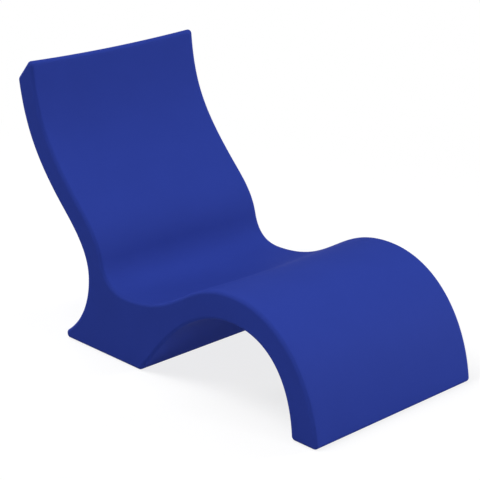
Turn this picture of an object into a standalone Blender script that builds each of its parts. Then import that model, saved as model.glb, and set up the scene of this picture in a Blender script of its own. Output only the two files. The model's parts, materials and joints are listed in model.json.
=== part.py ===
"""A low-back pool chair: one hollow plastic moulding, filled with water as ballast.

Units are metres and +Z is up. The chair faces -Y and its width runs along X. The origin is on
the floor, midway along the length and the width. The side profile is drawn first, with reaches
counted back from the toe and heights counted up from the floor. Water goes in through a port
behind the top of the backrest and out through a port low on the back of the base. Each port has
a threaded insert moulded into a boss, a gasket and a screw cap that sits below the surface.
"""

import math

import bpy
import numpy as np
from mathutils import Vector
from mathutils.geometry import interpolate_bezier

# Moulding
WIDTH = 0.610
WALL = 0.005
EDGE_RADIUS = 0.0095  # along both side edges
CORNER_RADIUS = 0.012  # across the profile's corners
FOOT_RADIUS = 0.011  # at the thin tip of the base

# Sitting line
KNEE_REACH = 0.314
KNEE_HEIGHT = 0.331
SEAT_REACH = 0.739
SEAT_HEIGHT = 0.201
LUMBAR_RUN = 0.104  # every run and rise starts at the seat's lowest point
LUMBAR_RISE = 0.0795
BACK_RUN = 0.216
BACK_RISE = 0.241
TOP_RUN = 0.389
TOP_RISE = 0.617
DISH_DEPTH = 0.0085  # hollow of the sitting face, midway across

# Back, base and arch
END_LENGTH = 0.0995  # the slanting top end
BACK_THICKNESS = 0.070
WAIST_RUN = 0.165
WAIST_HEIGHT = 0.2185
FOOT_RUN = 0.311
BASE_LEAD = 0.055  # the base starts this far in front of the seat's lowest point
LEG_THICKNESS = 0.091
KNEE_THICKNESS = 0.079

# Slopes of the profile, in degrees up from level, going back
LEVEL, UPRIGHT = 0, 90
TOE_SLOPE = 84
LUMBAR_SLOPE = 77
BACK_SLOPE = 47
TOP_SLOPE = 86
END_SLOPE = -48
REAR_TOP_SLOPE = 82
REAR_BACK_SLOPE = 45
FOOT_SLOPE = -25
BASE_SLOPE = -46
LEG_SLOPE = 87

# Length of each curve handle, as a share of the straight line between its two points
SITTING_SHARES = ((0.40, 0.40), (0.41, 0.49), (0.375, 0.495), (0.375, 0.37), (0.44, 0.41))
REAR_SHARES = ((0.37, 0.40), (0.38, 0.33), (0.37, 0.37))
ARCH_SHARES = ((0.25, 0.41), (0.43, 0.44))
# Where the dish starts and is whole, as shares of the sitting line's length from the toe
DISH_START_SHARE, DISH_FULL_SHARE = 0.10, 0.50
# Where the dish starts to lean along the slanting end, as a share of the same length
LEAN_START_SHARE = 0.75

# Ports
FILL_DROP = 0.128  # below the top edge
DRAIN_HEIGHT = 0.092
RECESS_DEPTH = 0.010  # from the outer face to the seat of the gasket
RECESS_DRAFT = 0.003
BOSS_WALL = 0.006
LIP_THICKNESS = 0.003  # plastic under the insert
OVERRUN = 0.020  # cutters run this far past what they cut

# Screw thread, cap, insert and gasket
PITCH = 0.005
THREAD_DEPTH = 0.0018
THREAD_CLEARANCE = 0.0005
SPIGOT_RADIUS = 0.0185  # at the root of the thread
SPIGOT_LENGTH = 0.0135
CAP_WALL = 0.0035
HEAD_RADIUS = 0.0275
HEAD_THICKNESS = 0.006
HEAD_ROUND = 0.0015
SLOT_WIDTH = 0.0032  # for a coin
SLOT_LENGTH = 0.030
SLOT_DEPTH = 0.0035
INSERT_WALL = 0.0037
INSERT_LENGTH = 0.016
RIB_DEPTH = 0.002
RIB_HEIGHT = 0.004
GASKET_WIDTH = 0.005
GASKET_THICKNESS = 0.0024
GASKET_ROUND = 0.0006
GASKET_SLACK = 0.0007  # round the crest of the cap's thread
HEAD_CLEARANCE = 0.0025  # round the head, in the recess
SEAT_GAP = 0.0003  # between pieces that touch

# Fineness of the mesh
FACET = 0.038  # along the profile
LEAST_STEPS = 6  # in one span of the profile
SLOPE_STEP = 0.0045  # the stretch of a line over which its direction is read
SHARP_ANGLE = 30  # degrees; flatter edges are shaded smooth
CORNER_STEPS = 4  # in a quarter turn
EDGE_STEPS = 3
DISH_STEPS = 8
CAVITY_EDGE_STEPS = 2
CAVITY_DISH_STEPS = 6
TURN_STEPS = 24
THREAD_STEPS = 6  # per pitch


def clear_scene():
    for thing in list(bpy.data.objects):
        bpy.data.objects.remove(thing, do_unlink=True)


def plastic(name, color, roughness):
    """A Principled material of one colour, in linear values."""
    material = bpy.data.materials.new(name)
    material.use_nodes = True
    shader = material.node_tree.nodes["Principled BSDF"]
    shader.inputs["Base Color"].default_value = (*color, 1)
    shader.inputs["Roughness"].default_value = roughness
    shader.inputs["Metallic"].default_value = 0
    return material


def direction(slope):
    angle = math.radians(slope)
    return np.array([math.cos(angle), math.sin(angle)])


def curve_through(keys, handle_shares):
    """Points along the curve through (reach, height, slope) keys, each span a cubic of its own."""
    points = []
    for (*start, slope), (*end, end_slope), (out, back) in zip(keys, keys[1:], handle_shares):
        start, end = np.array(start), np.array(end)
        span = np.linalg.norm(end - start)
        leaving = start + out * span * direction(slope)
        arriving = end - back * span * direction(end_slope)
        steps = max(LEAST_STEPS, round(span / FACET))
        points.extend(cubic((start, leaving, arriving, end), steps)[:-1])
    return np.array(points + [keys[-1][:2]])


def cubic(knots, steps):
    """Points along one cubic curve, given its two ends and the handles between them."""
    piece = interpolate_bezier(*(Vector((*knot, 0)) for knot in knots), steps + 1)
    return [point[:2] for point in piece]


def top_edge():
    return np.array([SEAT_REACH + TOP_RUN, SEAT_HEIGHT + TOP_RISE])


def sitting_line():
    """From the toe over the knee, through the seat and up the backrest to its top edge."""
    return curve_through(
        (
            (0, 0, TOE_SLOPE),
            (KNEE_REACH, KNEE_HEIGHT, LEVEL),
            (SEAT_REACH, SEAT_HEIGHT, LEVEL),
            (SEAT_REACH + LUMBAR_RUN, SEAT_HEIGHT + LUMBAR_RISE, LUMBAR_SLOPE),
            (SEAT_REACH + BACK_RUN, SEAT_HEIGHT + BACK_RISE, BACK_SLOPE),
            (*top_edge(), TOP_SLOPE),
        ),
        SITTING_SHARES,
    )


def rear_line():
    """From the rear corner of the top end down the back, in at the waist and out to the foot."""
    top = top_edge() + END_LENGTH * direction(END_SLOPE)
    front = np.array([SEAT_REACH + BACK_RUN, SEAT_HEIGHT + BACK_RISE])
    back = front + BACK_THICKNESS * direction(BACK_SLOPE - UPRIGHT)
    turn = 2 * UPRIGHT  # the line runs down, against the slopes
    return curve_through(
        (
            (*top, REAR_TOP_SLOPE + turn),
            (*back, REAR_BACK_SLOPE + turn),
            (SEAT_REACH + WAIST_RUN, WAIST_HEIGHT, -UPRIGHT),
            (SEAT_REACH + FOOT_RUN, 0, FOOT_SLOPE),
        ),
        REAR_SHARES,
    )


def arch_line():
    """From the front of the base up under the seat, over below the knee and down the leg."""
    turn = 2 * UPRIGHT
    return curve_through(
        (
            (SEAT_REACH - BASE_LEAD, 0, BASE_SLOPE + turn),
            (KNEE_REACH, KNEE_HEIGHT - KNEE_THICKNESS, turn),
            (LEG_THICKNESS, 0, LEG_SLOPE + turn),
        ),
        ARCH_SHARES,
    )


def trimmed(line, cut):
    """The line without its last stretch of length cut, and its direction where it now ends."""
    steps = np.linalg.norm(np.diff(line, axis=0), axis=1)
    along = np.concatenate([[0], np.cumsum(steps)])
    end = along[-1] - cut
    kept = line[along < end - SLOPE_STEP]
    before, last = (
        np.array([np.interp(place, along, line[:, axis]) for axis in (0, 1)])
        for place in (end - SLOPE_STEP, end)
    )
    return np.vstack([kept, last]), (last - before) / np.linalg.norm(last - before)


def rounded_corner(first, second, radius):
    """Two lines that meet, cut back, and the points of the round between them."""
    into = first[-1] - first[-2]
    out = second[1] - second[0]
    turn = math.acos(into @ out / (np.linalg.norm(into) * np.linalg.norm(out)))
    cut = radius * math.tan(turn / 2)
    first, into = trimmed(first, cut)
    second, back = trimmed(second[::-1], cut)
    handle = radius * math.tan(turn / 4) * 4 / 3  # the handle that makes a cubic an arc
    knots = first[-1], first[-1] + handle * into, second[-1] + handle * back, second[-1]
    steps = max(CORNER_STEPS, round(CORNER_STEPS * turn / (math.pi / 2)))
    return first, np.array(cubic(knots, steps)[1:-1]), second[::-1]


def outline():
    """The closed side profile, with for each point how it moves when the dish is 1 deep."""
    sitting, rear, arch = sitting_line(), rear_line(), arch_line()
    end = np.array([sitting[-1], rear[0]])
    base = np.array([rear[-1], arch[0]])
    sole = np.array([arch[-1], sitting[0]])
    slope_at_top = sitting[-1] - sitting[-2]

    sitting, top_front, end = rounded_corner(sitting, end, CORNER_RADIUS)
    end, top_rear, rear = rounded_corner(end, rear, CORNER_RADIUS)
    rear, foot, base = rounded_corner(rear, base, FOOT_RADIUS)
    base, base_front, arch = rounded_corner(base, arch, CORNER_RADIUS)
    arch, leg_back, sole = rounded_corner(arch, sole, CORNER_RADIUS)
    sole, toe, sitting = rounded_corner(sole, sitting, CORNER_RADIUS)

    rest = np.vstack([end, top_rear, rear, foot, base, base_front, arch, leg_back, sole, toe])
    dished = dish_directions(sitting, slope_at_top)
    round_top = np.tile(dished[-1], (len(top_front) + 1, 1))  # with the end face's first point
    still = np.zeros((len(rest) - 1, 2))
    return np.vstack([sitting, top_front, rest]), np.vstack([dished, round_top, still])


def dish_directions(sitting, slope_at_top):
    """Inward across the sitting face, leaning near the top so the end face stays in its plane."""
    steps = np.linalg.norm(np.diff(sitting, axis=0), axis=1)
    share = np.concatenate([[0], np.cumsum(steps)]) / steps.sum()
    tangent = np.gradient(sitting, axis=0)
    tangent /= np.linalg.norm(tangent, axis=1)[:, None]
    inward = np.stack([tangent[:, 1], -tangent[:, 0]], axis=1)
    along_end = direction(END_SLOPE)
    slope_at_top = slope_at_top / np.linalg.norm(slope_at_top)
    across = np.array([slope_at_top[1], -slope_at_top[0]])
    lean = (along_end @ slope_at_top) / (along_end @ across)
    depth = smooth((share - DISH_START_SHARE) / (DISH_FULL_SHARE - DISH_START_SHARE))
    leaning = smooth((share - LEAN_START_SHARE) / (1 - LEAN_START_SHARE))
    return depth[:, None] * inward + (depth * leaning * lean)[:, None] * tangent


def smooth(value):
    """0 below 0, 1 above 1 and an even S between."""
    value = np.clip(value, 0, 1)
    return value * value * (3 - 2 * value)


def inset(points, depth):
    """The closed profile moved into the plastic by depth."""
    ahead = np.roll(points, -1, axis=0) - points
    ahead /= np.linalg.norm(ahead, axis=1)[:, None]
    behind = np.roll(ahead, 1, axis=0)
    tangent = ahead + behind
    tangent /= np.linalg.norm(tangent, axis=1)[:, None]
    stretch = 1 / np.sum(tangent * ahead, axis=1)
    return points + depth * stretch[:, None] * np.stack([tangent[:, 1], -tangent[:, 0]], axis=1)


def half_face():
    """Half the width of the sitting face, between the rounds of its side edges."""
    return WIDTH / 2 - EDGE_RADIUS


def midway(profile):
    return (profile[:, 0].max() + profile[:, 0].min()) / 2


def stations(wall, edge_steps, dish_steps):
    """(x, inset) of each ring across the width, for a skin that lies wall under the surface."""
    radius, flat = EDGE_RADIUS - wall, half_face()
    angles = [math.pi / 2 * step / edge_steps for step in range(edge_steps, 0, -1)]
    edge = [(flat + radius * math.sin(a), wall + radius * (1 - math.cos(a))) for a in angles]
    middle = [(flat * (2 * step / dish_steps - 1), wall) for step in range(dish_steps + 1)]
    return [(-x, depth) for x, depth in edge] + middle + edge[::-1]


def skin(name, wall, edge_steps, dish_steps):
    """A closed skin of the whole chair, wall under the outer surface."""
    profile, sink = outline()
    centre = midway(profile)
    rings = []
    for x, depth in stations(wall, edge_steps, dish_steps):
        dish = DISH_DEPTH * max(0, 1 - (x / half_face()) ** 2)
        ring = inset(profile + dish * sink, depth)
        rings.append([(x, reach - centre, height) for reach, height in ring])
    count = len(profile)
    faces = [tuple(range(count))]
    for ring in range(len(rings) - 1):
        for step in range(count):
            low, high = ring * count, (ring + 1) * count
            following = (step + 1) % count
            faces.append((low + step, high + step, high + following, low + following))
    faces.append(tuple(range(len(rings) * count - 1, (len(rings) - 1) * count - 1, -1)))
    return new_object(name, [point for ring in rings for point in ring], faces)


def new_object(name, points, faces):
    mesh = bpy.data.meshes.new(name)
    mesh.from_pydata(points, [], faces)
    mesh.shade_smooth()
    mesh.set_sharp_from_angle(angle=math.radians(SHARP_ANGLE))
    thing = bpy.data.objects.new(name, mesh)
    bpy.context.scene.collection.objects.link(thing)
    return thing


def cutter(thing):
    thing.hide_render = True
    thing.display_type = "WIRE"
    return thing


def combine(thing, tool, operation):
    modifier = thing.modifiers.new(tool.name, "BOOLEAN")
    modifier.operation = operation
    modifier.solver = "EXACT"
    modifier.object = tool


def turned(name, profile, closed, ridges=None):
    """A (radius, height) profile spun round the port's axis, running up its outer side.

    A closed profile makes a ring; an open one starts and ends on the axis. ridges gives the
    height of the screw thread at each point: the radius there also holds a wave that climbs one
    pitch in each turn.
    """
    ridges = ridges or [0] * len(profile)
    points, rows = [], []
    for (radius, height), ridge in zip(profile, ridges):
        around = TURN_STEPS if radius > 0 else 1
        rows.append([len(points) + step % around for step in range(TURN_STEPS + 1)])
        for step in range(around):
            angle = 2 * math.pi * step / TURN_STEPS
            wave = (1 + math.cos(2 * math.pi * height / PITCH - angle)) / 2
            here = radius + ridge * wave
            points.append((here * math.cos(angle), here * math.sin(angle), height))
    faces = []
    for low, high in zip(rows, rows[1:] + rows[:1] if closed else rows[1:]):
        for step in range(TURN_STEPS):
            corners = low[step], low[step + 1], high[step + 1], high[step]
            faces.append(tuple(dict.fromkeys(corners)))
    return new_object(name, points, faces)


def thread_rows(start, end):
    """Heights along a thread, and its share of full depth at each, run out over half a pitch."""
    count = round(THREAD_STEPS * (end - start) / PITCH)
    heights = np.linspace(start, end, count + 1)
    run = PITCH / 2
    fade = smooth((heights - start) / run) * smooth((end - heights) / run)
    return list(zip(heights.tolist(), fade.tolist()))


def head_base():
    """Height of the head's underside over the gasket's seat."""
    return GASKET_THICKNESS + 2 * SEAT_GAP


def insert_bore():
    return SPIGOT_RADIUS + THREAD_CLEARANCE


def insert_radius():
    return insert_bore() + THREAD_DEPTH + INSERT_WALL


def gasket_bore():
    return SPIGOT_RADIUS + THREAD_DEPTH + GASKET_SLACK


def recess_radius():
    return HEAD_RADIUS + HEAD_CLEARANCE


def cap(name):
    """A screw plug: a threaded spigot, hollow from below, and a round head with a coin slot."""
    under, top = head_base(), head_base() + HEAD_THICKNESS
    bottom = -SPIGOT_LENGTH
    pocket = SPIGOT_RADIUS - CAP_WALL
    profile = [
        (0, under),
        (pocket - HEAD_ROUND, under),
        (pocket, under - HEAD_ROUND),
        (pocket, bottom),
        (SPIGOT_RADIUS - HEAD_ROUND, bottom),
    ]
    ridges = [0] * len(profile)
    for height, fade in thread_rows(bottom + HEAD_ROUND, under - HEAD_ROUND):
        profile.append((SPIGOT_RADIUS, height))
        ridges.append(THREAD_DEPTH * fade)
    rest = [
        (SPIGOT_RADIUS, under),
        (HEAD_RADIUS, under),
        (HEAD_RADIUS, top - HEAD_ROUND),
        (HEAD_RADIUS - HEAD_ROUND, top),
        (0, top),
    ]
    thing = turned(name, profile + rest, False, ridges + [0] * len(rest))
    slot = box(name + "_slot", (SLOT_LENGTH, SLOT_WIDTH), top - SLOT_DEPTH, top + OVERRUN)
    slot.parent = thing
    combine(thing, cutter(slot), "DIFFERENCE")
    return thing


def box(name, sides, low, high):
    """A block on the port's axis, sides long and wide, from height low to high."""
    half_x, half_y = (side / 2 for side in sides)
    plan = [(-half_x, -half_y), (half_x, -half_y), (half_x, half_y), (-half_x, half_y)]
    points = [(x, y, z) for z in (low, high) for x, y in plan]
    sides = [(step, (step + 1) % 4, 4 + (step + 1) % 4, 4 + step) for step in range(4)]
    return new_object(name, points, [(3, 2, 1, 0), (4, 5, 6, 7)] + sides)


def insert(name):
    """A threaded bush with a rib round it that the moulded plastic grips."""
    bottom, outer, bore = -INSERT_LENGTH, insert_radius(), insert_bore()
    middle = bottom / 2
    profile = [
        (outer, bottom),
        (outer, middle - RIB_HEIGHT / 2 - RIB_DEPTH),
        (outer + RIB_DEPTH, middle - RIB_HEIGHT / 2),
        (outer + RIB_DEPTH, middle + RIB_HEIGHT / 2),
        (outer, middle + RIB_HEIGHT / 2 + RIB_DEPTH),
        (outer, 0),
    ]
    ridges = [0] * len(profile)
    for height, fade in reversed(thread_rows(bottom, 0)):
        profile.append((bore + THREAD_DEPTH * (1 - fade), height))
        ridges.append(THREAD_DEPTH * fade)
    return turned(name, profile, True, ridges)


def gasket(name):
    """A flat rubber ring with eased edges, between the head and its seat."""
    inner, outer = gasket_bore(), gasket_bore() + GASKET_WIDTH
    low, high, ease = SEAT_GAP, SEAT_GAP + GASKET_THICKNESS, GASKET_ROUND
    profile = [
        (inner + ease, low),
        (outer - ease, low),
        (outer, low + ease),
        (outer, high - ease),
        (outer - ease, high),
        (inner + ease, high),
        (inner, high - ease),
        (inner, low + ease),
    ]
    return turned(name, profile, True)


def port_hole(name):
    """What a port takes out of the plastic: the recess, the insert's seat and the way in."""
    bottom = -INSERT_LENGTH - SEAT_GAP
    outer = insert_radius() + SEAT_GAP
    middle = -INSERT_LENGTH / 2
    rib = RIB_HEIGHT / 2 + SEAT_GAP
    mouth = RECESS_DEPTH + OVERRUN
    flare = recess_radius() + RECESS_DRAFT * mouth / RECESS_DEPTH
    profile = [
        (0, bottom - LIP_THICKNESS - OVERRUN),
        (insert_bore(), bottom - LIP_THICKNESS - OVERRUN),
        (insert_bore(), bottom),
        (outer, bottom),
        (outer, middle - rib - RIB_DEPTH),
        (outer + RIB_DEPTH, middle - rib),
        (outer + RIB_DEPTH, middle + rib),
        (outer, middle + rib + RIB_DEPTH),
        (outer, 0),
        (recess_radius(), 0),
        (flare, mouth),
        (0, mouth),
    ]
    return cutter(turned(name, profile, False))


def boss(name):
    """The solid plastic that is left round a port inside the hollow."""
    radius = recess_radius() + RECESS_DRAFT + BOSS_WALL
    bottom = -INSERT_LENGTH - SEAT_GAP - LIP_THICKNESS
    top = RECESS_DEPTH + OVERRUN
    return cutter(turned(name, [(0, bottom), (radius, bottom), (radius, top), (0, top)], False))


def port_frame(name, height):
    """An empty on the gasket's seat, its Z axis square out of the back at this height."""
    line = rear_line()[::-1]
    heights = line[:, 1]
    reach = np.interp(height, heights, line[:, 0])
    below, above = (np.interp(height + d, heights, line[:, 0]) for d in (-SLOPE_STEP, SLOPE_STEP))
    tangent = np.array([above - below, 2 * SLOPE_STEP])
    out = np.array([tangent[1], -tangent[0]]) / np.linalg.norm(tangent)
    seat = np.array([reach - midway(outline()[0]), height]) - RECESS_DEPTH * out
    frame = bpy.data.objects.new(name, None)
    frame.location = (0, *seat)
    frame.rotation_euler = (math.atan2(-out[0], out[1]), 0, 0)
    bpy.context.scene.collection.objects.link(frame)
    return frame


def add_port(name, height, shell, cavity, finishes):
    """One port: its boss and hole in the shell, and the insert, gasket and cap in it."""
    frame = port_frame(name + "_port", height)
    hole = port_hole(name + "_hole")
    pad = boss(name + "_boss")
    combine(cavity, pad, "DIFFERENCE")
    combine(shell, hole, "DIFFERENCE")
    pieces = insert(name + "_insert"), gasket(name + "_gasket"), cap(name + "_cap")
    for piece, finish in zip(pieces, finishes):
        piece.data.materials.append(finish)
    for piece in (hole, pad, *pieces):
        piece.parent = frame


def main():
    clear_scene()
    blue = plastic("moulded_blue", (0.025, 0.047, 0.295), 0.45)
    cap_blue = plastic("cap_blue", (0.02, 0.037, 0.22), 0.4)
    black = plastic("insert_black", (0.02, 0.02, 0.022), 0.5)
    rubber = plastic("gasket_rubber", (0.03, 0.03, 0.03), 0.8)

    shell = skin("shell", 0, EDGE_STEPS, DISH_STEPS)
    shell.data.materials.append(blue)
    cavity = cutter(skin("cavity", WALL, CAVITY_EDGE_STEPS, CAVITY_DISH_STEPS))
    combine(shell, cavity, "DIFFERENCE")
    fill_height = top_edge()[1] - FILL_DROP
    add_port("fill", fill_height, shell, cavity, (black, rubber, cap_blue))
    add_port("drain", DRAIN_HEIGHT, shell, cavity, (black, rubber, cap_blue))


main()
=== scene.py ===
# %% [markdown]
# # A low-back pool chair
# The chair is one hollow plastic moulding. It stands in shallow water and is filled with water
# itself, so it needs a filling port behind its head and a drain low on its back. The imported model
# is a coarse, exact frame for it. This lesson draws every piece again on a fine grid, gives each
# its finish, and sets up the light and the camera of the photograph.

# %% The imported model
import json
import math

import bpy
import numpy as np
from mathutils import Matrix, Vector


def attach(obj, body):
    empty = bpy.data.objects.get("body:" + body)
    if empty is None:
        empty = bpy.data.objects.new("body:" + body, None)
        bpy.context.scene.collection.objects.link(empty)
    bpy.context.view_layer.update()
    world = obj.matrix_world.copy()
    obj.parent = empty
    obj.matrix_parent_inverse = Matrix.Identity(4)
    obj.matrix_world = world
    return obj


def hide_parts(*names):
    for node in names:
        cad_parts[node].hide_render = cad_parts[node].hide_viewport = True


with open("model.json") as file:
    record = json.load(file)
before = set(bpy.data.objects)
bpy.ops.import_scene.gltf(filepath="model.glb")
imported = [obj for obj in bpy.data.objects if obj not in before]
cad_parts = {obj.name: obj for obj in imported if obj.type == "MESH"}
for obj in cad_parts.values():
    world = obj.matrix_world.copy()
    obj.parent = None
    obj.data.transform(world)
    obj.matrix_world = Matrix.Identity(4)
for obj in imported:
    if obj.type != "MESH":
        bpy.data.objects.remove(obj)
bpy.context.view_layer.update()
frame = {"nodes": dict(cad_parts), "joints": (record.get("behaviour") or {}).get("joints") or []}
print("nodes:", ", ".join(sorted(frame["nodes"])))

# %% [markdown]
# ## The side profile
# Seen from the side, the whole chair is one closed outline that keeps its shape across the width.
# It could be traced as a long list of points, or drawn as a few smooth spans. Spans are better
# here: a designer sets where the knee, the seat and the top are and how steep the surface is
# there, and a cubic curve runs smoothly from each to the next.

# %% Curves in the plane
def heading(slope):
    """The unit vector that climbs at this slope, in degrees."""
    return np.array([math.cos(math.radians(slope)), math.sin(math.radians(slope))])


def cubic(knots, count):
    """Points of a cubic: its four knots weighed by (1-t)^3, 3t(1-t)^2, 3t^2(1-t) and t^3."""
    t = np.linspace(0, 1, count)[:, None]
    weights = (1 - t) ** 3, 3 * t * (1 - t) ** 2, 3 * t**2 * (1 - t), t**3
    return sum(weight * knot for weight, knot in zip(weights, knots))


SPAN_POINTS = 600  # enough that straight lines between them can't be told from the curve


def curve_through(keys, handle_shares):
    """A curve through (reach, height, slope) keys, with handles as shares of each span."""
    pieces = []
    for (*start, slope), (*end, end_slope), (out, back) in zip(keys, keys[1:], handle_shares):
        start, end = np.array(start), np.array(end)
        span = np.linalg.norm(end - start)
        leaving, arriving = out * span * heading(slope), back * span * heading(end_slope)
        pieces.append(cubic((start, start + leaving, end - arriving, end), SPAN_POINTS)[:-1])
    return np.vstack(pieces + [np.array([keys[-1][:2]])])


# %% The sitting line
TOE = (0, 0)  # reach counted back from the toe, and height over the floor
KNEE = (0.314, 0.331)
SEAT = (0.739, 0.201)
LUMBAR = (0.843, 0.2805)
BACK = (0.955, 0.442)
TOP = (1.128, 0.818)
BACK_SLOPE = 47

sitting = curve_through(
    ((*TOE, 84), (*KNEE, 0), (*SEAT, 0), (*LUMBAR, 77), (*BACK, BACK_SLOPE), (*TOP, 86)),
    ((0.40, 0.40), (0.41, 0.49), (0.375, 0.495), (0.375, 0.37), (0.44, 0.41)),
)
print("sitting line:", len(sitting), "points, from the toe to", TOP)

# %% The back, the base and the arch
END_SLOPE = -48
END_LENGTH = 0.0995
BACK_THICKNESS = 0.070
WAIST = (0.904, 0.2185)
HEEL = (1.050, 0)
ARCH_REAR = (0.684, 0)
ARCH_TOP = (KNEE[0], 0.252)
TOE_REAR = (0.091, 0)
DOWN = 180  # added to a slope where the outline runs down or forwards

top_rear = np.array(TOP) + END_LENGTH * heading(END_SLOPE)
behind_back = np.array(BACK) + BACK_THICKNESS * heading(BACK_SLOPE - 90)
rear = curve_through(
    ((*top_rear, 82 + DOWN), (*behind_back, 45 + DOWN), (*WAIST, -90), (*HEEL, -25)),
    ((0.37, 0.40), (0.38, 0.33), (0.37, 0.37)),
)
arch = curve_through(
    ((*ARCH_REAR, -46 + DOWN), (*ARCH_TOP, DOWN), (*TOE_REAR, 87 + DOWN)),
    ((0.25, 0.41), (0.43, 0.44)),
)
print("back:", len(rear), "points; arch:", len(arch), "points")


# %% Lengths and directions along a line
def lengths(line):
    """How far along the line each of its points lies."""
    return np.concatenate([[0], np.cumsum(np.linalg.norm(np.diff(line, axis=0), axis=1))])


def at(line, places):
    """The line's points at these distances along it."""
    along = lengths(line)
    return np.stack([np.interp(places, along, line[:, axis]) for axis in (0, 1)], axis=-1)


def spaced(line, spacing):
    """The same line with points about this far apart."""
    total = lengths(line)[-1]
    return at(line, np.linspace(0, total, max(2, round(total / spacing) + 1)))


def unit(vectors):
    """The same directions, each with a length of 1."""
    return vectors / np.linalg.norm(vectors, axis=-1, keepdims=True)


def inward(tangent):
    """Directions along the outline, turned a quarter so that they point into the plastic."""
    return np.stack([tangent[..., 1], -tangent[..., 0]], axis=-1)


for name, line in (("sitting line", sitting), ("back", rear), ("arch", arch)):
    print(f"{name}: {lengths(line)[-1]:.3f} m long")

# %% [markdown]
# ## Rounded corners
# Plastic powder doesn't fill a sharp corner of the mould, so every corner of the real profile is
# a round of about a centimetre. A Bevel modifier could make them, but a bevel works on edges and
# this outline isn't a mesh yet. Cutting both lines back and drawing a cubic arc between them
# gives the same round and keeps its ends in line with its neighbours.

# %% Corner rounds
CORNER_RADIUS = 0.012
FOOT_RADIUS = 0.011
ARC_STEP = 11  # degrees of turn for each step of an arc
LAST_STRETCH = 0.001  # over which the direction of a cut line is read


def cut_back(line, cut):
    """The line without its last stretch, and its direction there."""
    along = lengths(line)
    end = along[-1] - cut
    before, last = at(line, np.array([end - LAST_STRETCH, end]))
    return np.vstack([line[along < end - LAST_STRETCH], last]), unit(last - before)


def rounded(first, second, radius):
    """Two lines that meet, cut back by radius x tan(turn / 2), and the arc between them."""
    into, out = first[-1] - first[-2], second[1] - second[0]
    turn = math.acos(into @ out / np.linalg.norm(into) / np.linalg.norm(out))
    cut = radius * math.tan(turn / 2)
    first, into = cut_back(first, cut)
    second, back = cut_back(second[::-1], cut)
    handle = radius * math.tan(turn / 4) * 4 / 3
    knots = first[-1], first[-1] + handle * into, second[-1] + handle * back, second[-1]
    arc = cubic(knots, round(math.degrees(turn) / ARC_STEP) + 1)
    return first, arc[1:-1], second[::-1]


slope_at_top = sitting[-1] - sitting[-2]
end = np.array([sitting[-1], rear[0]])
base = np.array([rear[-1], arch[0]])
sole = np.array([arch[-1], sitting[0]])
sitting, top_front, end = rounded(sitting, end, CORNER_RADIUS)
end, top_back, rear = rounded(end, rear, CORNER_RADIUS)
rear, foot, base = rounded(rear, base, FOOT_RADIUS)
base, base_front, arch = rounded(base, arch, CORNER_RADIUS)
arch, leg_back, sole = rounded(arch, sole, CORNER_RADIUS)
sole, toe, sitting = rounded(sole, sitting, CORNER_RADIUS)
print("points in the corner rounds:", [len(arc) for arc in (top_front, top_back, foot, toe)])

# %% One closed outline
CURVE_SPACING = 0.007
REAR_SPACING = 0.0058
FLAT_SPACING = 0.030

sitting_rows = spaced(sitting, CURVE_SPACING)
rear_rows = spaced(rear, REAR_SPACING)
end_rows = spaced(end, CURVE_SPACING)
outline = np.vstack([
    sitting_rows, top_front, end_rows, top_back,
    rear_rows, foot, spaced(base, FLAT_SPACING), base_front,
    spaced(arch, CURVE_SPACING), leg_back, spaced(sole, FLAT_SPACING), toe,
])
middle = (outline[:, 0].max() + outline[:, 0].min()) / 2
size = f"{np.ptp(outline[:, 0]):.4f} m long, {outline[:, 1].max():.4f} m high"
print(f"{len(outline)} points, {size}")

# %% [markdown]
# ## The dished sitting face
# Across its width the sitting face isn't flat: it sinks 8.5 mm in the middle, in a parabola that
# fades out down the front leg. It shows in the photograph as the sagging top edge. A sculpted
# dent or a lattice would do it, but a sum is exact: each point of the sitting line gets the
# direction in which it sinks, and each station across the width gets how far.

# %% Where each point of the outline sinks to
DISH_STARTS, DISH_WHOLE = 0.10, 0.50  # shares of the sitting line, from the toe
LEAN_STARTS = 0.75  # from here to the top, the way it sinks turns along the slanting end


def ease(value):
    """0 below 0, 1 above 1, and 3v^2 - 2v^3 between: a soft S."""
    value = np.clip(value, 0, 1)
    return value * value * (3 - 2 * value)


def sinking(line):
    """For each point, its shift when the dish is 1 deep.

    It is square to the line, times how much of the dish has faded in. Near the top it leans
    along the slanting end, so that the end face stays flat.
    """
    share = lengths(line) / lengths(line)[-1]
    tangent, up = unit(np.gradient(line, axis=0)), unit(slope_at_top)
    lean = (heading(END_SLOPE) @ up) / (heading(END_SLOPE) @ inward(up))
    depth = ease((share - DISH_STARTS) / (DISH_WHOLE - DISH_STARTS))[:, None]
    leaning = lean * ease((share - LEAN_STARTS) / (1 - LEAN_STARTS))[:, None]
    return depth * (inward(tangent) + leaning * tangent)


sink = np.zeros_like(outline)
sink[: len(sitting_rows)] = sinking(sitting_rows)
round_end = len(sitting_rows) + len(top_front) + 1
sink[len(sitting_rows) : round_end] = sink[len(sitting_rows) - 1]
# the dish fades out along the slanting end, whose points slide in its own plane
fade = np.linspace(1, 0, len(end_rows))[1:, None]
sink[round_end : round_end + len(fade)] = fade * sink[round_end - 1]
print("largest shift, for a dish 1 deep:", np.round(np.linalg.norm(sink, axis=1).max(), 3))

# %% [markdown]
# ## A skin on a grid
# The chair's surface is a grid: one way round the outline, the other way across the width. At
# both sides the outline also shrinks while it runs outwards, which turns the side edge into a
# round. The inside of the hollow plastic is the same grid, one wall thickness further in.

# %% Stations across the width
WIDTH = 0.610
WALL = 0.005
EDGE_RADIUS = 0.0095
DISH_DEPTH = 0.0085
HALF_FACE = WIDTH / 2 - EDGE_RADIUS  # half the width between the two edge rounds
SUPPORT = 0.001  # a last ring just inside the flat side keeps the shading of the round off it
CELLS_ACROSS = 80
EDGE_STEPS, INNER_EDGE_STEPS = 8, 4


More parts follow.
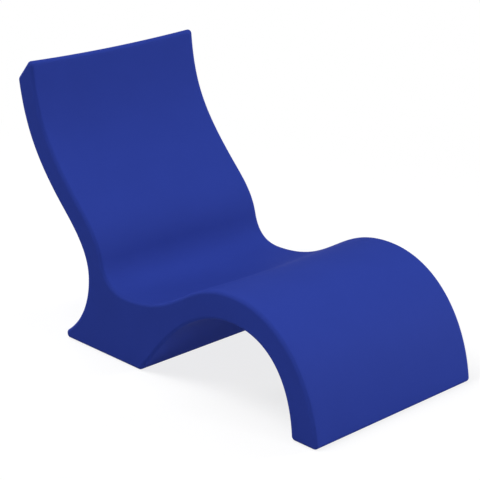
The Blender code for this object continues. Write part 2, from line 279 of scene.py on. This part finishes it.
def stations(wall, across, edge_steps):
    """For each ring: x, how far the outline is drawn in, and how deep the dish is.

    The edge is a quarter circle: x grows with the sine of the angle and the draw with one minus
    its cosine. The dish is a parabola, 1 - (x / half the face)^2.
    """
    angle = np.linspace(math.pi / 2, 0, edge_steps + 1)[:-1]
    radius = EDGE_RADIUS - wall
    edge_x = HALF_FACE + radius * np.sin(angle)
    edge_draw = wall + radius * (1 - np.cos(angle))
    x = np.concatenate([-edge_x[:1], -edge_x, across, edge_x[::-1], edge_x[:1]])
    flat, last = np.full(len(across), wall), [EDGE_RADIUS + SUPPORT]
    draw = np.concatenate([last, edge_draw, flat, edge_draw[::-1], last])
    return x, draw, DISH_DEPTH * np.clip(1 - (x / HALF_FACE) ** 2, 0, None)


def drawn_in(lines, draw):
    """Closed outlines moved in by draw.

    Each corner moves along its middle by draw / cos(half its turn), so that both of its sides
    move by draw.
    """
    ahead = unit(np.roll(lines, -1, axis=-2) - lines)
    tangent = unit(ahead + np.roll(ahead, 1, axis=-2))
    return lines + draw / np.sum(tangent * ahead, axis=-1, keepdims=True) * inward(tangent)


def skin(rows, x, draw, dish):
    """The grid of points, stations by outline points, for these rows of the outline."""
    lines = outline + dish[:, None, None] * sink
    lines = drawn_in(lines, draw[:, None, None])[:, rows]
    across = np.broadcast_to(x[:, None, None], (*lines.shape[:2], 1))
    return np.concatenate([across, lines - np.array([middle, 0])], axis=-1)


even = np.linspace(-HALF_FACE, HALF_FACE, CELLS_ACROSS + 1)
outer_x, outer_draw, outer_dish = stations(0, even, EDGE_STEPS)
outer = skin(np.arange(len(outline)), outer_x, outer_draw, outer_dish)
print("outer skin:", outer.shape[0], "stations by", outer.shape[1], "points")

# %% [markdown]
# ## The two ports
# Water goes in behind the head and out low on the back, each time through a threaded bush in a
# round recess. A Boolean modifier could cut the recess, but it leaves slivers that shade badly.
# Here a square block of cells is left out of the grid. A patch of rings leads from the square to
# a circle, and the same rings then run over the rim, down the recess, round the bush's seat and
# through the wall to the inside.

# %% Where the ports are
joints = {joint["name"]: joint for joint in frame["joints"]}
AXES = {
    name: (np.array(joints[name + "_turn"]["pos_m"]), np.array(joints[name + "_turn"]["axis"]))
    for name in ("fill", "drain")
}
for name, (seat, axis) in AXES.items():
    print(name, "seat", np.round(seat, 4), "axis", np.round(axis, 4))


def turn_of(name):
    """Rows: the port's own axes, which are across, down the back, and out of it."""
    axis = AXES[name][1]
    return np.array([[1, 0, 0], [0, axis[2], -axis[1]], axis])


def to_port(name, points):
    """World points in the port's own terms: their offset from its seat along each of its axes."""
    return (points - AXES[name][0]) @ turn_of(name).T


def from_port(name, points):
    """The way back: the seat plus each number times its axis."""
    return points @ turn_of(name) + AXES[name][0]


# %% The block of cells left out for a port
HALF_BLOCK = 8  # cells each way
COLUMNS = 8 * HALF_BLOCK  # points round the block
RECESS_DEPTH = 0.010
centre = len(outer_x) // 2


def block_rows(name):
    """First and last row of the block, counted from the row nearest to the port."""
    seat, axis = AXES[name]
    row = int(np.linalg.norm(outer[centre] - seat - RECESS_DEPTH * axis, axis=1).argmin())
    return row - HALF_BLOCK, row + HALF_BLOCK


def border(grid, left, right, low, high):
    """The points round a block, in order: along its four sides in turn."""
    return np.concatenate([
        grid[left:right, low], grid[right, low:high],
        grid[right:left:-1, high], grid[left, high:low:-1],
    ])


port_rows = {name: block_rows(name) for name in AXES}
print("rows of the blocks:", port_rows, "of", len(outline))

# %% The inner skin is coarser away from the ports
KEPT_ROWS = 3  # it keeps every third row of the outline
COARSE_CELLS = 9  # from a port's block to each side
kept = np.arange(len(outline)) % KEPT_ROWS == 0
for low, high in port_rows.values():
    kept[low : high + 1] = True
kept = np.flatnonzero(kept)
fine = np.linspace(-HALF_BLOCK, HALF_BLOCK, 2 * HALF_BLOCK + 1) * 2 * HALF_FACE / CELLS_ACROSS
coarse = np.linspace(fine[-1], HALF_FACE, COARSE_CELLS + 1)[1:]
uneven = np.concatenate([-coarse[::-1], fine, coarse])
inner_x, inner_draw, inner_dish = stations(WALL, uneven, INNER_EDGE_STEPS)
inner = skin(kept, inner_x, inner_draw, inner_dish)
print("inner skin:", inner.shape[0], "stations by", inner.shape[1], "points")


# %% The back's own line, seen from a port
def line_at(name, depth):
    """The rear line in the port's terms, moved into the plastic by depth along its normal."""
    moved = rear + depth * inward(unit(np.gradient(rear, axis=0))) - np.array([middle, 0])
    return to_port(name, np.insert(moved, 0, 0, axis=1))


WINDOW = 0.08  # only this near to the port is the line a plain graph over it


def on_back(name, depth, x, down):
    """Points on the back: x across, down its slope, and as far out as the line is there."""
    line = line_at(name, depth)
    near = np.abs(line[:, 1]) < WINDOW
    out = np.interp(down, line[near, 1], line[near, 2])
    return np.stack([x, down, out], axis=-1)


# %% Rings round an axis
FIRST_CORNER = -135  # degrees: the block's corner, where its border starts
ANGLES = np.radians(FIRST_CORNER + 360 * np.arange(COLUMNS) / COLUMNS)


def circle(radius, height):
    """Points (radius x cos, radius x sin, height) at each column's angle."""
    radius, height = np.broadcast_arrays(radius, height, ANGLES)[:2]
    return np.stack([radius * np.cos(ANGLES), radius * np.sin(ANGLES), height], axis=-1)


def blend(first, last, steps):
    """Rings from the first to the last in equal steps, without the first."""
    t = np.linspace(0, 1, steps + 1)[1:, None, None]
    return (1 - t) * first + t * last


def bend(first, corner, last, steps):
    """Rings along the quadratic curve (1-t)^2, 2t(1-t), t^2 that rounds a corner."""
    t = np.linspace(0, 1, steps + 1)[1:, None, None]
    return (1 - t) ** 2 * first + 2 * t * (1 - t) * corner + t**2 * last


def patch(name, depth, first, last, steps):
    """Rings that run on the back from one ring to another, evenly in x and in slope."""
    plan = blend(first[:, :2], last[:, :2], steps)
    return on_back(name, depth, plan[..., 0], plan[..., 1])


# %% The sleeve of a port
RECESS_RADIUS = 0.030
DRAFT = 0.3  # how much the recess widens for each metre of height
RIM_RADIUS = 0.0355
RIM_ROUND = 0.002
COVE = 0.001
PATCH_RINGS, INNER_PATCH_RINGS = 6, 4
RIM_RINGS, COVE_RINGS, STRAIGHT_RINGS = 6, 4, 3
LINING = [  # radius and height round the insert, down through the wall and out below the boss
    (0.0248, 0), (0.0248, -0.0037), (0.0268, -0.0057), (0.0268, -0.0103), (0.0248, -0.0123),
    (0.0248, -0.0163), (0.0190, -0.0163), (0.0190, -0.0193), (0.0390, -0.0193),
]


def sleeve(name, outside, inside):
    """Rings from the block's border over the rim and round the insert to the inner border."""
    rim = circle(RIM_RADIUS, 0)
    rim = on_back(name, 0, rim[:, 0], rim[:, 1])
    top = rim[:, 2]
    corner = circle(RECESS_RADIUS + DRAFT * top, top)
    wall = circle(RECESS_RADIUS + DRAFT * (top - RIM_ROUND), top - RIM_ROUND)
    foot = circle(RECESS_RADIUS + DRAFT * COVE, COVE)
    floor = circle(RECESS_RADIUS - COVE, 0)
    boss = circle(LINING[-1][0], 0)
    boss = on_back(name, WALL, boss[:, 0], boss[:, 1])
    first, last = to_port(name, outside), to_port(name, inside)
    rings = np.concatenate([
        patch(name, 0, first, rim, PATCH_RINGS), bend(rim, corner, wall, RIM_RINGS),
        blend(wall, foot, STRAIGHT_RINGS),
        bend(foot, circle(RECESS_RADIUS, 0), floor, COVE_RINGS),
        np.stack([circle(*place) for place in LINING]),
        blend(circle(*LINING[-1]), boss, STRAIGHT_RINGS),
        patch(name, WALL, boss, last, INNER_PATCH_RINGS)[:-1],
    ])
    return np.concatenate([outside[None], from_port(name, rings), inside[None]])


# %% [markdown]
# ## From points to pieces
# A grid of points becomes faces by its neighbours: each cell of four points is one face. Where
# two grids meet, their points lie in the same places, and points that coincide are made one, so
# that the mesh is closed. Merge by Distance does that too, but here it is done on the arrays,
# before there is a mesh.

# %% Mesh from grids
WELD_DIGITS = 7  # points that agree to this many decimals of a metre are one


class Patchwork:
    """Grids of points that become one mesh, with points that coincide made one."""

    def __init__(self):
        self.points, self.quads, self.count = [], [], 0

    def add(self, grid, skip=None, flip=False):
        """Cells between neighbouring rows and columns, and from the last column to the first.

        skip marks cells to leave out, and flip turns the cells to face the other way.
        """
        index = np.arange(grid.shape[0] * grid.shape[1]).reshape(grid.shape[:2]) + self.count
        beside = np.roll(index, -1, axis=1)
        quads = np.stack([index[:-1], index[1:], beside[1:], beside[:-1]], axis=-1)
        quads = quads.reshape(-1, 4) if skip is None else quads[~skip]
        self.points.append(grid.reshape(-1, 3))
        self.quads.append(quads[:, ::-1] if flip else quads)
        self.count += index.size
        return index

    def mesh(self, name, sides=()):
        """Welds equal points, drops the corners that cells lose at a pole, adds flat sides."""
        points = np.vstack(self.points)
        places = np.round(points, WELD_DIGITS)
        _, first, same = np.unique(places, axis=0, return_index=True, return_inverse=True)
        same = same.reshape(-1)
        quads = same[np.vstack(self.quads)]
        distinct = quads != np.roll(quads, 1, axis=1)
        corners = distinct.sum(axis=1)
        triangles = quads[corners == 3][distinct[corners == 3]].reshape(-1, 3)
        faces = quads[corners == 4].tolist() + triangles.tolist()
        smooth = [True] * len(faces) + [False] * len(sides)
        faces += [same[side].tolist() for side in sides]
        mesh = bpy.data.meshes.new(name)
        mesh.from_pydata(points[first].tolist(), [], faces)
        mesh.polygons.foreach_set("use_smooth", smooth)
        mesh.update()
        return mesh


# %% From a mesh to a piece
SHARP_ANGLE = 35  # degrees; flatter edges are shaded smooth


def placed(name, data):
    """A new object in the scene, which holds this mesh, lamp or camera."""
    thing = bpy.data.objects.new(name, data)
    bpy.context.scene.collection.objects.link(thing)
    return thing


def piece(name, mesh, body, node):
    """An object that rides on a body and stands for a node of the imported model."""
    mesh.set_sharp_from_angle(angle=math.radians(SHARP_ANGLE))
    thing = placed(name, mesh)
    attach(thing, body)
    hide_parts(node)
    mesh.calc_loop_triangles()
    print(f"{name}: {len(mesh.loop_triangles)} triangles")
    return thing


# %% [markdown]
# ## The moulding
# The outer skin, the inner skin and the sleeves of both ports are one closed mesh, as the
# plastic is one body. A Solidify modifier would give an inner wall as well, but it can't leave
# the wall open at the ports and thicken it into a boss round each insert.

# %% The moulding
work = Patchwork()
outer_gap = np.zeros((len(outer_x) - 1, len(outline)), bool)
inner_gap = np.zeros((len(inner_x) - 1, len(kept)), bool)
outer_span = centre - HALF_BLOCK, centre + HALF_BLOCK
inner_span = len(inner_x) // 2 - HALF_BLOCK, len(inner_x) // 2 + HALF_BLOCK
for name, (low, high) in port_rows.items():
    inner_low, inner_high = np.searchsorted(kept, (low, high))
    outer_gap[slice(*outer_span), low:high] = True
    inner_gap[slice(*inner_span), inner_low:inner_high] = True
    outside = border(outer, *outer_span, low, high)
    inside = border(inner, *inner_span, inner_low, inner_high)
    work.add(sleeve(name, outside, inside), flip=True)
outer_index = work.add(outer, skip=outer_gap)
inner_index = work.add(inner, skip=inner_gap, flip=True)
flat_sides = outer_index[0], outer_index[-1][::-1], inner_index[0][::-1], inner_index[-1]
moulding = piece("moulding", work.mesh("moulding", flat_sides), "chair", "shell")

# %% [markdown]
# ## Inserts, gaskets and caps
# Each port holds three turned pieces: a threaded bush that the plastic is moulded round, a
# rubber ring, and a plug that a coin turns. A Screw modifier makes a thread, but it is an open
# ribbon that has to be joined to its core. Here the core's radius is a sum: the plain profile
# plus a wave that climbs one pitch in each turn, so core and thread are one closed skin.

# %% Turned pieces
TURN_COLUMNS = 96
PITCH = 0.005
THREAD_DEPTH = 0.0018
FLANK = 1.3  # over 1, a flat crest and root with steeper flanks between
ROWS_PER_PITCH = 24
ARC_STEPS = 4
turn_angles = np.linspace(0, 2 * math.pi, TURN_COLUMNS, endpoint=False)


def turned(profile, ridge=0):
    """Points of a (radius, height) profile carried round its axis.

    The radius grows by ridge x wave, where wave is half of 1 + FLANK x cosine, clipped to 0 to 1,
    of the angle that height / pitch turns make, less the point's own angle.
    """
    radius, height = np.array(profile).T[..., None]
    ridge = np.reshape(ridge, (-1, 1))
    wave = np.clip((1 + FLANK * np.cos(2 * math.pi * height / PITCH - turn_angles)) / 2, 0, 1)
    radius = radius + ridge * wave
    height = np.broadcast_to(height, radius.shape)
    across, along = radius * np.cos(turn_angles), radius * np.sin(turn_angles)
    return np.stack([across, along, height], axis=-1)


def thread(start, end):
    """Heights along a thread, and its share of full depth: it runs out over half a pitch."""
    heights = np.linspace(start, end, round((end - start) / PITCH * ROWS_PER_PITCH) + 1)
    return heights, ease((heights - start) / (PITCH / 2)) * ease((end - heights) / (PITCH / 2))


def arc(first, corner, last):
    """A corner of a profile, rounded as bend does it, with both ends included."""
    after_first = bend(*np.array([first, corner, last]), ARC_STEPS)
    return [first, *after_first[:, 0].tolist()]


# %% The threaded inserts
INSERT_RADIUS = 0.0245
INSERT_BORE = 0.0190
INSERT_LENGTH = 0.016
RIB_DEPTH = 0.002
RIB_HALF = 0.002  # half the height of its crest


def insert_grid():
    """Up the outside over the rib that the plastic grips, and down the threaded bore."""
    low, high = -INSERT_LENGTH / 2 - RIB_HALF, -INSERT_LENGTH / 2 + RIB_HALF
    rib = INSERT_RADIUS + RIB_DEPTH
    outside = [
        (INSERT_RADIUS, -INSERT_LENGTH), (INSERT_RADIUS, low - RIB_DEPTH), (rib, low),
        (rib, high), (INSERT_RADIUS, high + RIB_DEPTH), (INSERT_RADIUS, 0),
    ]
    heights, share = thread(-INSERT_LENGTH, 0)
    bore = list(zip(INSERT_BORE + THREAD_DEPTH * (1 - share), heights))[::-1]
    ridge = [0] * len(outside) + (THREAD_DEPTH * share[::-1]).tolist()
    grid = turned(outside + bore, ridge)
    return np.concatenate([grid, grid[:1]])


# %% The gaskets
GASKET_BORE = 0.0210
GASKET_RADIUS = 0.0260
GASKET_LOW, GASKET_HIGH = 0.0003, 0.0027
GASKET_ROUND = 0.0006


def gasket_grid():
    """A rectangle with rounded corners, carried round."""
    inner, outer, cut = GASKET_BORE, GASKET_RADIUS, GASKET_ROUND
    low, high = GASKET_LOW, GASKET_HIGH
    profile = [
        *arc((outer - cut, low), (outer, low), (outer, low + cut)),
        *arc((outer, high - cut), (outer, high), (outer - cut, high)),
        *arc((inner + cut, high), (inner, high), (inner, high - cut)),
        *arc((inner, low + cut), (inner, low), (inner + cut, low)),
    ]
    grid = turned(profile)
    return np.concatenate([grid, grid[:1]])


# %% The caps
UNDER, FACE = 0.0030, 0.0090  # underside and top of the head, over the gasket's seat
SPIGOT_RADIUS = 0.0185
SPIGOT_LENGTH = 0.0135
POCKET_RADIUS = 0.0150
HEAD_RADIUS = 0.0275
HEAD_ROUND = 0.0015
DIAL_RADIUS = 0.0235
DIAL_DEPTH = 0.0010

# %% The coin slot
SLOT = (0.015, 0.0016)  # half its length and half its width
SLOT_DEPTH = 0.0035
SLOT_ROUND = 0.0004
SLOT_POINTS = 1441  # enough that its columns come out evenly spaced


def slot_ring(grow, height):
    """The slot's outline, a bar with round ends grown by grow, as evenly spaced columns."""
    length, width = SLOT[0] + grow, SLOT[1] + grow
    angle = np.linspace(0, 2 * math.pi, SLOT_POINTS)
    line = width * np.stack([np.cos(angle), np.sin(angle)], axis=1)
    line[:, 0] += (length - width) * np.sign(np.cos(angle))
    places = np.linspace(0, lengths(line)[-1], TURN_COLUMNS, endpoint=False)
    return np.append(at(line, places), np.full((TURN_COLUMNS, 1), height), axis=1)


def seam(height):
    """The slot ring pressed flat onto its long axis, where the slot's floor closes."""
    line = slot_ring(-SLOT[1] / 2, height)
    line[:, 0] = (line[:, 0] + np.roll(line[::-1, 0], 1)) / 2
    line[:, 1] = 0
    return line


# %% The whole cap
FACE_RINGS, LIP_RINGS = 5, 4


def cap_grid():
    """Out of the pocket, up the thread, round the head, over its dial and into the slot."""
    pocket = POCKET_RADIUS
    body = [
        (0, UNDER), (pocket / 2, UNDER),
        *arc((pocket - HEAD_ROUND, UNDER), (pocket, UNDER), (pocket, UNDER - HEAD_ROUND)),
        (pocket, -SPIGOT_LENGTH), (SPIGOT_RADIUS - HEAD_ROUND, -SPIGOT_LENGTH),
    ]
    heights, share = thread(-SPIGOT_LENGTH + HEAD_ROUND, UNDER - HEAD_ROUND)
    spigot = [(SPIGOT_RADIUS, height) for height in heights]
    rim, edge, step = HEAD_RADIUS, DIAL_RADIUS, DIAL_DEPTH
    dial = FACE - step
    head = [
        (SPIGOT_RADIUS, UNDER), (rim - SLOT_ROUND, UNDER), (rim, UNDER + SLOT_ROUND),
        *arc((rim, FACE - HEAD_ROUND), (rim, FACE), (rim - HEAD_ROUND, FACE)),
        *arc((edge + step, FACE), (edge, FACE), (edge, dial + step / 2)),
        *arc((edge, dial + step / 2), (edge, dial), (edge - step, dial)),
    ]
    ridge = [0] * len(body) + (THREAD_DEPTH * share).tolist() + [0] * len(head)
    grid = turned(body + spigot + head, ridge)
    lip, mouth = slot_ring(SLOT_ROUND, dial), slot_ring(0, dial - SLOT_ROUND)
    floor = FACE - SLOT_DEPTH
    return np.concatenate([
        grid, blend(grid[-1], lip, FACE_RINGS), bend(lip, slot_ring(0, dial), mouth, LIP_RINGS),
        [slot_ring(0, floor + SLOT_ROUND), slot_ring(-SLOT_ROUND, floor), seam(floor)],
    ])


# %% One set for each port
def turned_piece(port, kind, body, grid):
    """A closed piece from a grid in the port's own terms, in place of the CAD node."""
    work = Patchwork()
    work.add(from_port(port, grid), flip=True)
    name = f"{port}_{kind}"
    return piece(name + "_turned", work.mesh(name), body, name)


fittings = {}
for port in AXES:
    fittings[port, "insert"] = turned_piece(port, "insert", "chair", insert_grid())
    fittings[port, "gasket"] = turned_piece(port, "gasket", port + "_seal", gasket_grid())
    fittings[port, "cap"] = turned_piece(port, "cap", port + "_plug", cap_grid())

# %% [markdown]
# ## Finishes
# A finish is a graph of shader nodes. Built by hand it is a page of links, so a small class turns
# it into sums: a socket that is added or multiplied adds the Math node that does it.

# %% Sockets that can be reckoned with
class Socket:
    """A node's output. A sum or product of two of them is the output of a new Math node."""

    def __init__(self, graph, output):
        self.graph, self.output = graph, output

    def maths(self, operation, first, second):
        """A Math node's output, from two sockets or numbers."""
        return self.graph.node("Math", {"operation": operation}, {0: first, 1: second})[0]

    def __add__(self, other):
        return self.maths("ADD", self, other)

    def __mul__(self, other):
        return self.maths("MULTIPLY", self, other)

    __radd__, __rmul__ = __add__, __mul__


# %% Graphs of nodes
class Graph:
    """The node tree of a material or of the world."""

    def __init__(self, tree):
        self.tree = tree
        tree.nodes.clear()

    def node(self, kind, settings=None, sockets=None):
        """Adds a node, sets its settings, then its sockets by name or number.

        It gives the node's outputs, in their order.
        """
        new = self.tree.nodes.new("ShaderNode" + kind)
        for key, value in (settings or {}).items():
            setattr(new, key, value)
        for key, value in (sockets or {}).items():
            if isinstance(value, Socket):
                self.tree.links.new(value.output, new.inputs[key])
            else:
                new.inputs[key].default_value = value
        return [Socket(self, output) for output in new.outputs]

    def mix(self, share, first, second):
        """A colour part of the way from the first (socket 6) to the second (socket 7)."""
        settings = {"data_type": "RGBA"}
        return self.node("Mix", settings, {0: share, 6: first, 7: second})[2]

    def noise(self, place, scale, detail=2.0, roughness=0.5):
        """Noise of 0 to 1 with features about 1 / scale wide, in metres."""
        sockets = {"Vector": place, "Scale": scale, "Detail": detail, "Roughness": roughness}
        return self.node("TexNoise", None, sockets)[0]

    def place(self):
        """Object coordinates."""
        return self.node("TexCoord")[3]

    def bump(self, height, distance, below=None):
        """A normal tilted by the slope of height, with distance as the height of 1."""
        sockets = {"Strength": 1.0, "Distance": distance, "Height": height}
        if below:
            sockets["Normal"] = below
        return self.node("Bump", None, sockets)[0]


# %% Colours and materials
def tint(color, factor=1.0):
    """A linear colour as a socket takes it, times a factor."""
    return (*(channel * factor for channel in color), 1.0)


def finish(name):
    """A new material's graph, and the material."""
    material = bpy.data.materials.new(name)
    material.use_nodes = True
    return Graph(material.node_tree), material


# %% [markdown]
# ### Moulded polyethylene
# The chair is satin polyethylene. Powder sinters against the mould, so the colour is even but
# for a faint cloudiness, the skin has a fine grain, and long, very low waves show where the
# plastic cooled unevenly. A picture of such plastic would repeat and would bring its own light
# with it, so each of these is noise at its own scale.

# %% The plastics
BLUE = (0.0232, 0.0440, 0.284)
CAP_BLUE = (0.015, 0.032, 0.225)
GLOSS = 0.0125  # the specular level: a satin skin mirrors far less than a polished one
CLOUD_SCALE, SPECK_SCALE = 9.0, 420.0  # of the noises: the higher, the finer
WAVE_SCALE, DRIFT_SCALE = 11.0, 60.0
CLOUD_SHARE, SPECK_SHARE = 0.8, 0.2
SATIN, SATIN_DRIFT = 0.62, 0.10  # the lowest roughness, and how far it rises


def polyethylene(name, color, cloud, grain_scale, grain_height, wave_height):
    """Satin plastic: colour and roughness drift with slow noise, the normal with fine noise."""
    graph, material = finish(name)
    place = graph.place()
    clouds = graph.noise(place, CLOUD_SCALE, detail=3.0)
    specks = graph.noise(place, SPECK_SCALE, detail=1.0)
    share = CLOUD_SHARE * clouds + SPECK_SHARE * specks
    base = graph.mix(share, tint(color, 1 - cloud), tint(color, 1 + cloud))
    waves = graph.bump(graph.noise(place, WAVE_SCALE, detail=1.0), wave_height)
    fine_grain = graph.noise(place, grain_scale, roughness=0.6)
    roughness = SATIN + SATIN_DRIFT * graph.noise(place, DRIFT_SCALE, detail=3.0)
    shader = graph.node("BsdfPrincipled", None, {
        "Base Color": base, "Roughness": roughness, "Specular IOR Level": GLOSS,
        "Normal": graph.bump(fine_grain, grain_height, waves),
    })[0]
    graph.node("OutputMaterial", None, {"Surface": shader})
    return material


moulded = polyethylene(
    "moulded_polyethylene", BLUE, cloud=0.05,
    grain_scale=900.0, grain_height=0.00007, wave_height=0.0004,
)
cap_plastic = polyethylene(
    "cap_plastic", CAP_BLUE, cloud=0.04,
    grain_scale=1600.0, grain_height=0.00003, wave_height=0.0,
)
print("plastics:", moulded.name, "and", cap_plastic.name)

# %% [markdown]
# ### Insert plastic and rubber
# The inserts are black plastic with glass fibre, which leaves a fine pale mottle, and the gaskets
# are dull rubber with a faint grey bloom. Both are one recipe with other numbers: where the noise
# is high, the surface is paler and duller.

# %% The black parts
GRAIN_FINER = 6  # times as fine as the bloom
BLOOM_DULLS = 0.15  # how much rougher the bloom is


def dark(name, color, pale, scale, roughness, height):
    """A dark finish with a paler bloom where noise is high, and a matching grain."""
    graph, material = finish(name)
    place = graph.place()
    bloom = graph.noise(place, scale, detail=4.0, roughness=0.6)
    normal = graph.bump(graph.noise(place, scale * GRAIN_FINER), height)
    shader = graph.node("BsdfPrincipled", None, {
        "Base Color": graph.mix(bloom, tint(color), tint(pale)),
        "Roughness": roughness + BLOOM_DULLS * bloom, "Normal": normal,
    })[0]
    graph.node("OutputMaterial", None, {"Surface": shader})
    return material


insert_plastic = dark(
    "insert_plastic", (0.016, 0.016, 0.018), (0.028, 0.028, 0.030),
    scale=240.0, roughness=0.45, height=0.00002,
)
rubber = dark(
    "gasket_rubber", (0.022, 0.022, 0.022), (0.045, 0.045, 0.046),
    scale=120.0, roughness=0.70, height=0.00003,
)
print("black parts:", insert_plastic.name, "and", rubber.name)

# %% A finish for every piece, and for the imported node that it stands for
finishes = {"insert": insert_plastic, "gasket": rubber, "cap": cap_plastic}
finish_of = {"shell": moulded} | {f"{port}_{kind}": finishes[kind] for port, kind in fittings}
moulding.data.materials.append(moulded)
for (port, kind), thing in fittings.items():
    thing.data.materials.append(finishes[kind])
for node, material in finish_of.items():
    for held in frame["nodes"][node].material_slots:
        held.material = material
print("finishes:", ", ".join(sorted({material.name for material in finish_of.values()})))

# %% [markdown]
# ## Floor, background and light
# The photograph is a cut-out on white. A real white backdrop would need so much light that it
# would flood the chair. A white world does it for the camera and for gloss alone, while the
# light that comes from all round stays dim. The floor is white in the same way: most of its
# white is light that it gives off, and only the rest takes the chair's shadow, which stays faint.
# Further out all of it is given off, so that no horizon shows. To the chair the floor is a pale
# grey that throws light back up under the arch.

# %% The world
AMBIENT = 0.10
WHITE = (1.0, 1.0, 1.0)


def seen(graph):
    """1 for a ray from the camera, from gloss or through glass, 0 for light on its way."""
    ray = graph.node("LightPath")
    camera, glossy, through = ray[0], ray[3], ray[6]
    return graph.node("Clamp", None, {0: camera + glossy + through})[0]


world = bpy.data.worlds.new("studio")
bpy.context.scene.world = world
world.use_nodes = True
graph = Graph(world.node_tree)
color = graph.mix(seen(graph), tint(WHITE, AMBIENT), tint(WHITE))
background = graph.node("Background", None, {"Color": color, "Strength": 1.0})[0]
graph.node("OutputWorld", None, {"Surface": background})
print("world:", world.name, "with", AMBIENT, "of light from all round")

# %% The floor
FLOOR_HALF = 30.0
SHADE = 0.22  # how much of the floor's white a full shadow takes away
FADE = 0.9, 2.6  # the shadow fades out between these distances from the middle of the chair
BOUNCE = 0.62  # the share of the light that the floor throws back at the chair
mesh = bpy.data.meshes.new("floor")
corners = FLOOR_HALF * np.array([(-1, -1, 0), (1, -1, 0), (1, 1, 0), (-1, 1, 0)])
mesh.from_pydata(corners.tolist(), [], [(0, 1, 2, 3)])
floor = placed("floor", mesh)
graph, pale = finish("pale_floor")
diffuse = graph.node("BsdfDiffuse", None, {"Color": tint(WHITE, SHADE)})[0]
glow = graph.node("Emission", None, {"Color": tint(WHITE), "Strength": 1 - SHADE})[0]
shaded = graph.node("AddShader", None, {0: diffuse, 1: glow})[0]
white = graph.node("Emission", None, {"Color": tint(WHITE), "Strength": 1.0})[0]
distance = graph.node("VectorMath", {"operation": "LENGTH"}, {0: graph.place()})[1]
fade = {"Value": distance, "From Min": FADE[0], "From Max": FADE[1]}
far = graph.node("MapRange", {"interpolation_type": "SMOOTHSTEP"}, fade)[0]
near_and_far = graph.node("MixShader", None, {0: far, 1: shaded, 2: white})[0]
plain = graph.node("BsdfDiffuse", None, {"Color": tint(WHITE, BOUNCE)})[0]
surface = graph.node("MixShader", None, {0: seen(graph), 1: plain, 2: near_and_far})[0]
graph.node("OutputMaterial", None, {"Surface": surface})
mesh.materials.append(pale)
print("floor:", 2 * FLOOR_HALF, "m wide, throws back", BOUNCE, "of the light")

# %% [markdown]
# ### Soft boxes
# The photograph's light is soft: the sitting face is even, the side is darker, and the arch is
# the darkest. Sun lamps would leave hard shadows, so these are square area lamps, as a studio's
# soft boxes are. The key stands low on the sitter's left, so that it misses the side that the
# camera sees. A wide lamp hangs over that side, and a weak fill stands by the camera. Two small
# lamps near the toe lift the knee and the front leg, and the rim and the one behind light the
# back.

# %% The lamps
LAMPS = {  # azimuth and height as seen from the chair, in degrees; distance; side; power in watts
    "key": (60, 8, 6.0, 1.0, 253),
    "overhead": (-120, 65, 6.0, 3.0, 289),
    "fill": (-45, 8, 6.0, 1.0, 23),
    "rim": (150, 40, 6.0, 2.0, 35),
    "knee": (0, 35, 2.2, 0.6, 8.9),
    "toe": (-30, 10, 2.2, 0.6, 2.6),
    "behind": (180, 12, 6.0, 1.5, 150),
}
AIM = Vector((0, 0, 0.35))


def direction(azimuth, height):
    """The unit vector this far round from -Y towards +X, and this far up."""
    azimuth, height = math.radians(azimuth), math.radians(height)
    level = math.cos(height)
    return Vector((math.sin(azimuth) * level, -math.cos(azimuth) * level, math.sin(height)))


for name, (azimuth, height, distance, side, power) in LAMPS.items():
    light = bpy.data.lights.new(name, "AREA")
    light.shape, light.size, light.energy = "SQUARE", side, power
    lamp = placed(name, light)
    lamp.location = AIM + distance * direction(azimuth, height)
    lamp.visible_camera = False  # the near ones would stand in front of some views
    lamp.rotation_euler = direction(azimuth, height).to_track_quat("Z", "Y").to_euler()
print("lamps:", ", ".join(LAMPS))

# %% [markdown]
# ## The camera
# The camera looks down a little from the front, to the sitter's right. Its place, turn and lens
# were fitted to the photograph together with the side profile.

# %% Looking through it
EYE = np.array([-2.99542, -2.54596 - middle, 1.895])
AZIMUTH, ELEVATION = math.radians(-43.6245), math.radians(19.782)
LENS, SENSOR = 123.45, 36  # millimetres
level = math.cos(ELEVATION)
back = np.array([math.sin(AZIMUTH) * level, -math.cos(AZIMUTH) * level, math.sin(ELEVATION)])
right = np.array([math.cos(AZIMUTH), math.sin(AZIMUTH), 0])
camera = placed("camera", bpy.data.cameras.new("camera"))
turn = np.stack([right, np.cross(back, right), back], axis=1)
camera.matrix_world = Matrix.Translation(Vector(EYE)) @ Matrix(turn.tolist()).to_4x4()
camera.data.lens, camera.data.sensor_width = LENS, SENSOR
bpy.context.scene.camera = camera
bpy.context.scene.view_settings.view_transform = "Standard"
print("camera", np.round(EYE, 3).tolist(), "lens", LENS)
